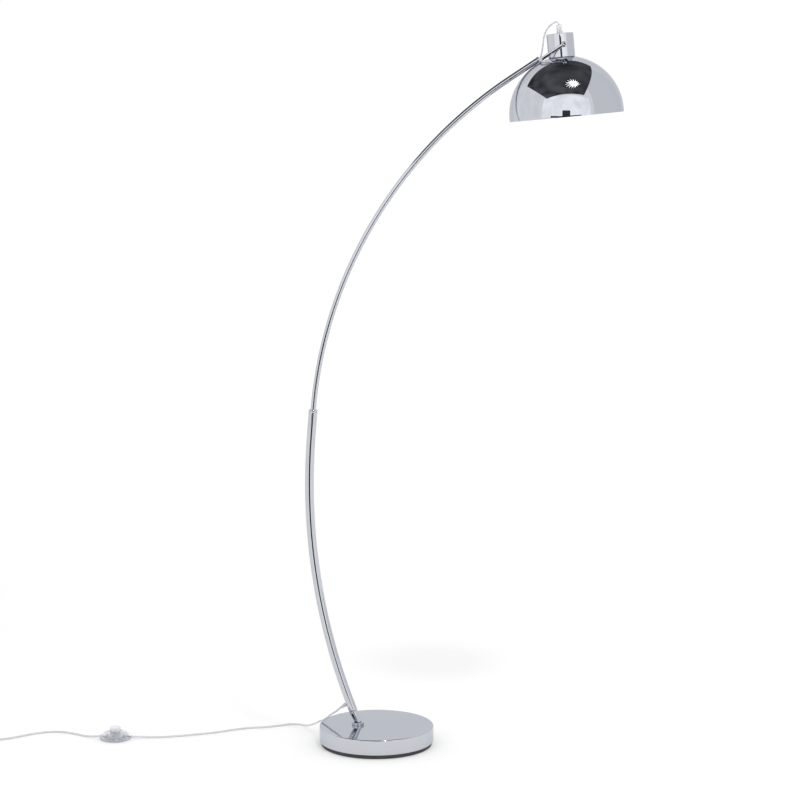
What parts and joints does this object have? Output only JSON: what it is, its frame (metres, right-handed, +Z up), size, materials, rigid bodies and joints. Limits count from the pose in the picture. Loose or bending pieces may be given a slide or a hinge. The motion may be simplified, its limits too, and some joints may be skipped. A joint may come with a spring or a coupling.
{
  "type": "arc floor lamp",
  "caption": "Chrome arc floor lamp: a round weighted base, a slim bent arm and a tilting half-sphere shade in a fork, with a mains lead, a foot switch and a plug.",
  "frame": {"origin": "centre of the base's bottom face, on the floor", "axes": "+Z up, +X the way the arm reaches, +Y to the back as seen with the arm reaching to the right"},
  "size_m": [1.4571, 0.2646, 1.5641],
  "materials": {
    "chrome": "mirror polished plating",
    "steel": "zinc plated",
    "iron": "rough cast, painted black",
    "rubber": "matt",
    "holder_plastic": "moulded, satin",
    "brass": "bright stamped",
    "clear_plastic": "clear, glossy",
    "cord_sheath": "translucent soft sheath",
    "bulb_glass": "frosted"
  },
  "bodies": {
    "stand": {"arm_cord": "cord_sheath", "arm_end_bush": "steel", "base_cover": "chrome", "base_pad": "rubber", "base_weight": "iron", "cord_coil": "cord_sheath", "cord_gland": "clear_plastic", "cord_tie": "holder_plastic", "foot_bolt": "steel", "foot_collar": "chrome", "foot_ferrule": "chrome", "foot_washer": "steel", "head_cord": "cord_sheath", "joint_bush": "chrome", "lower_arm": "chrome", "pivot_screw_back": "chrome", "pivot_screw_front": "chrome", "pivot_washer_back": "steel", "pivot_washer_front": "steel", "plug_body": "holder_plastic", "plug_pin_left": "steel", "plug_pin_right": "steel", "power_cord_far": "cord_sheath", "power_cord_near": "cord_sheath", "power_cord_tail": "cord_sheath", "shade_fork": "chrome", "switch_base": "clear_plastic", "switch_core": "holder_plastic", "switch_cover": "clear_plastic", "switch_screw_back": "steel", "switch_screw_front": "steel", "switch_spring": "steel", "switch_terminal_left": "steel", "switch_terminal_right": "steel", "terminal_screw_left": "steel", "terminal_screw_right": "steel", "upper_arm": "chrome"},
    "shade_head": {"shade_dome": "chrome", "shade_neck": "chrome", "pivot_nut_front": "steel", "pivot_nut_back": "steel", "holder_body": "holder_plastic", "holder_ring": "holder_plastic", "holder_shell": "brass", "holder_contact": "brass", "holder_nipple": "steel", "holder_nut": "steel", "bulb_cap": "steel", "bulb_glass": "bulb_glass", "cord_grip": "clear_plastic", "grip_screw": "steel"},
    "switch_button": {"switch_button": "clear_plastic"}
  },
  "joints": [
    {"name": "shade_tilt", "type": "hinge", "parent": "stand", "child": "shade_head", "pos_m": [0.39575, 0, 1.5159], "axis": [0, -1, 0], "range_deg": [0, 60], "deforming": ["head_cord"]},
    {"name": "switch_press", "type": "slide", "parent": "stand", "child": "switch_button", "axis": [0, 0, -1], "range_m": [0, 0.003], "stiffness_N_per_m": 400, "deforming": ["switch_spring"]}
  ]
}
